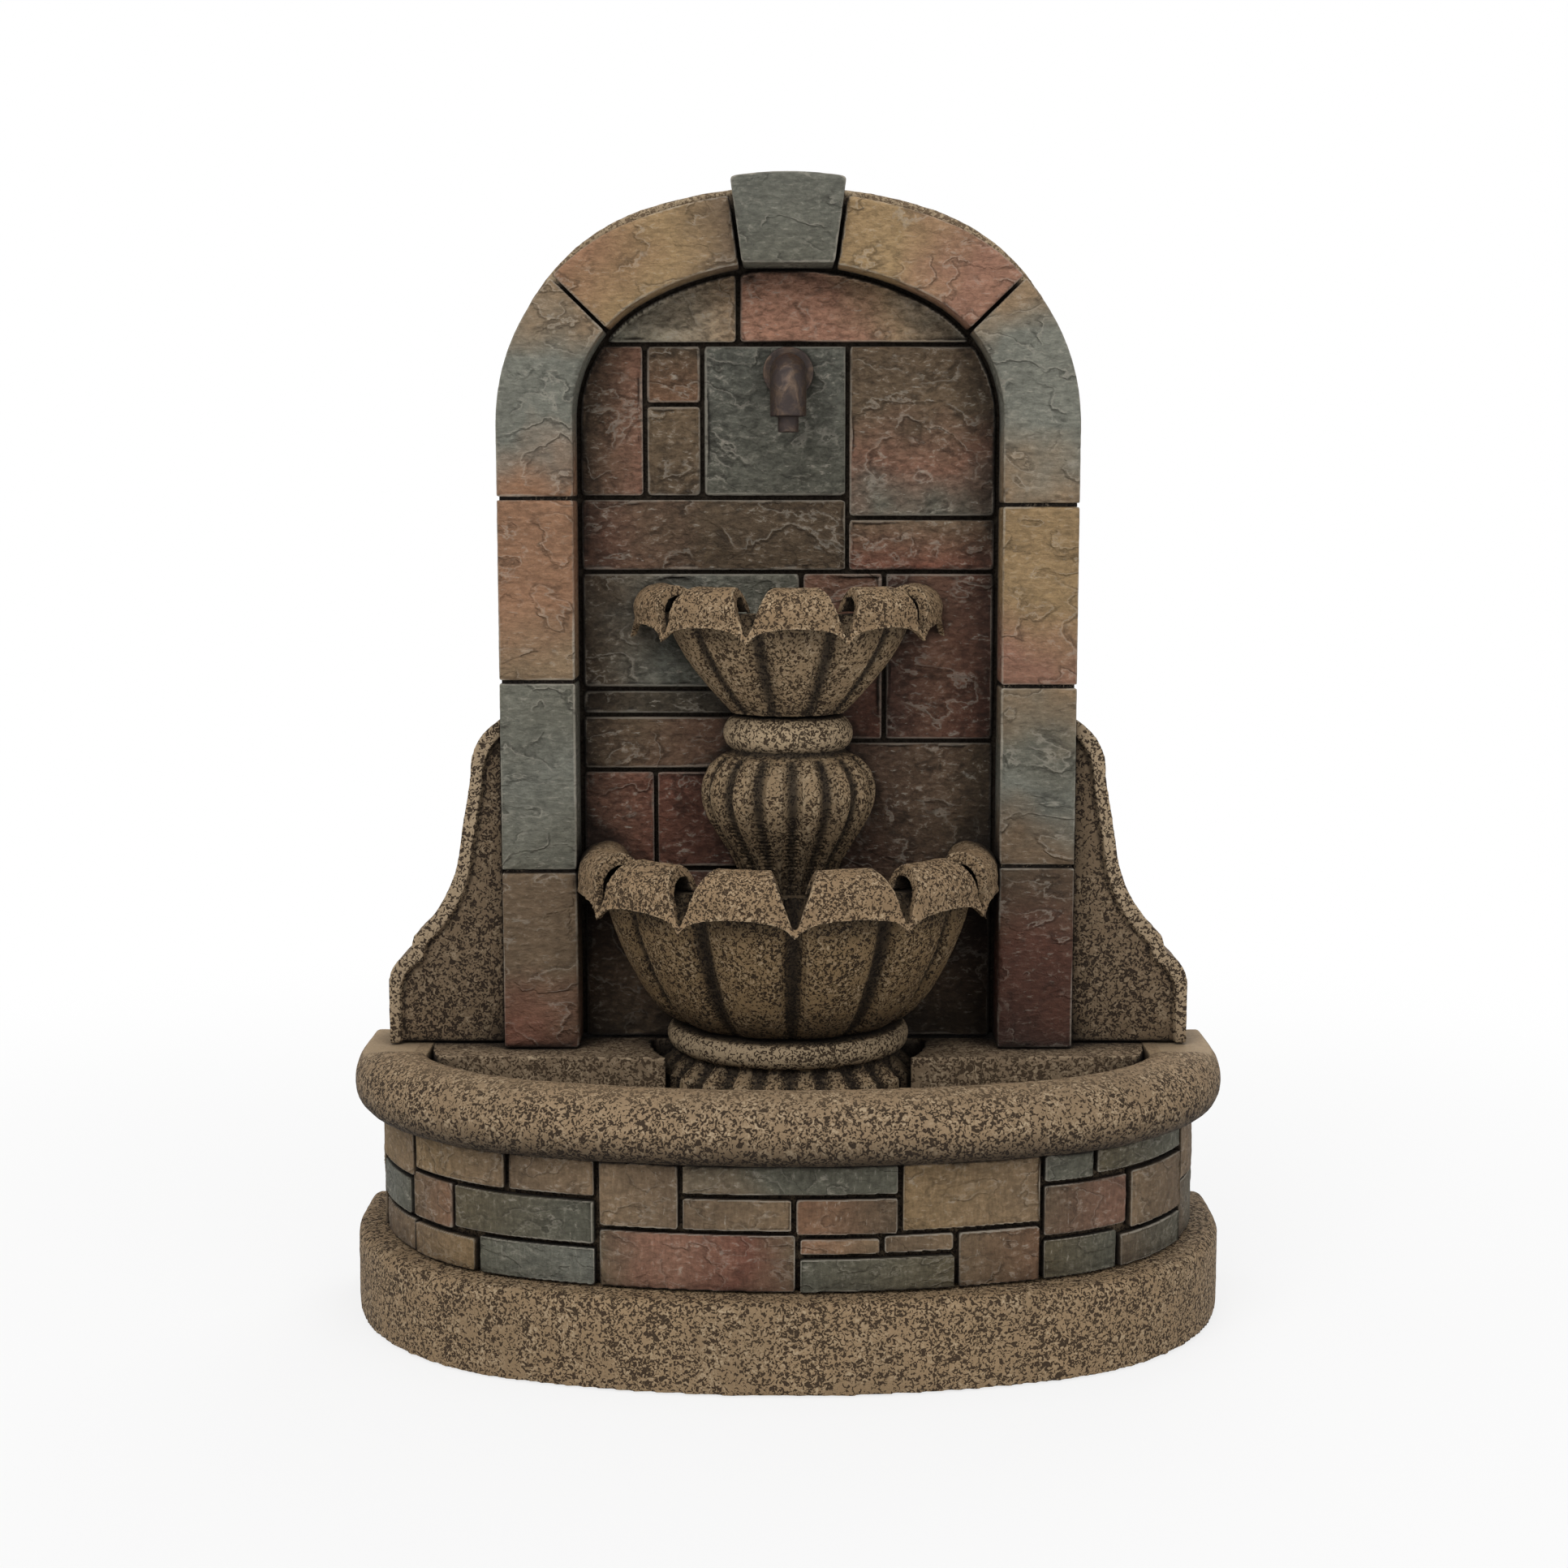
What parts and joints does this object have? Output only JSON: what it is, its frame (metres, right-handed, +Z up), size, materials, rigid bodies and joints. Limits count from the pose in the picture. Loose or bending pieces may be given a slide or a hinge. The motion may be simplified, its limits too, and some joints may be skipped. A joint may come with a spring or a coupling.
{
  "type": "water fountain",
  "caption": "Free-standing stone-look fountain: D-shaped basin, arched slate wall with two leafed half bowls, copper spout and a small circulation pump under the ledge.",
  "frame": {"origin": "centre of the overall box, on the floor under the plinth", "axes": "+Z up along the wall, +Y from the front of the basin to the wall's flat back, +X to the right seen from the front"},
  "size_m": [0.469, 0.186, 0.6],
  "materials": {
    "cast_stone": "pitted cast stone, matt, tan over dark brown",
    "slate": "cleft slate look, matt, tan, rust and grey-green",
    "wall_slate": "cleft slate look, matt, darker brown, red and grey-green",
    "aged_copper": "aged brown copper with worn golden patches",
    "brass": "plain machined",
    "black_plastic": "moulded, fine grain",
    "grey_plastic": "moulded",
    "clear_hose": "soft vinyl, milky",
    "steel": "plain",
    "hatch_resin": "moulded resin, brown",
    "rubber": "soft black",
    "ceramic_shaft": "ground",
    "magnet": "sintered ferrite"
  },
  "bodies": {
    "fountain": {"arch_stone_left_1": "slate", "arch_stone_left_2": "slate", "arch_stone_left_3": "slate", "arch_stone_left_4": "slate", "arch_stone_left_5": "slate", "arch_stone_right_1": "slate", "arch_stone_right_2": "slate", "arch_stone_right_3": "slate", "arch_stone_right_4": "slate", "arch_stone_right_5": "slate", "back_slab": "cast_stone", "basin_coping": "cast_stone", "basin_facing_stones": "slate", "basin_tub": "cast_stone", "cable_grommet": "rubber", "hose_clamps": "steel", "hose_elbow": "black_plastic", "impeller_shaft": "ceramic_shaft", "keystone": "slate", "ledge": "cast_stone", "lower_bowl": "cast_stone", "lower_bowl_leaves": "cast_stone", "lower_stem": "cast_stone", "plinth": "cast_stone", "pump_body": "black_plastic", "rear_shaft_bush": "rubber", "spout_elbow": "aged_copper", "spout_flange": "aged_copper", "spout_nozzle": "aged_copper", "spout_nut": "brass", "spout_pipe": "aged_copper", "suction_feet": "rubber", "supply_hose": "clear_hose", "upper_bowl": "cast_stone", "upper_bowl_leaves": "cast_stone", "upper_stem": "cast_stone", "wall_stones": "wall_slate", "wing_left": "cast_stone", "wing_right": "cast_stone"},
    "rotor": {"impeller": "black_plastic", "rotor_magnet": "magnet"},
    "intake": {"pump_cover": "black_plastic", "front_shaft_bush": "rubber"},
    "dial": {"flow_dial": "grey_plastic"},
    "hatch": {"rear_hatch": "hatch_resin"}
  },
  "joints": [
    {"name": "impeller_spin", "type": "hinge", "parent": "fountain", "child": "rotor", "pos_m": [0.112, 0.05, 0.083], "axis": [0, -1, 0], "continuous": true},
    {"name": "intake_cover_slide", "type": "slide", "parent": "fountain", "child": "intake", "axis": [0, -1, 0], "range_m": [0, 0.03]},
    {"name": "flow_dial_turn", "type": "hinge", "parent": "intake", "child": "dial", "pos_m": [0.112, 0.038, 0.072], "axis": [0, -1, 0], "range_deg": [0, 90]},
    {"name": "hatch_pull", "type": "slide", "parent": "fountain", "child": "hatch", "axis": [0, 1, 0], "range_m": [0, 0.04]}
  ]
}
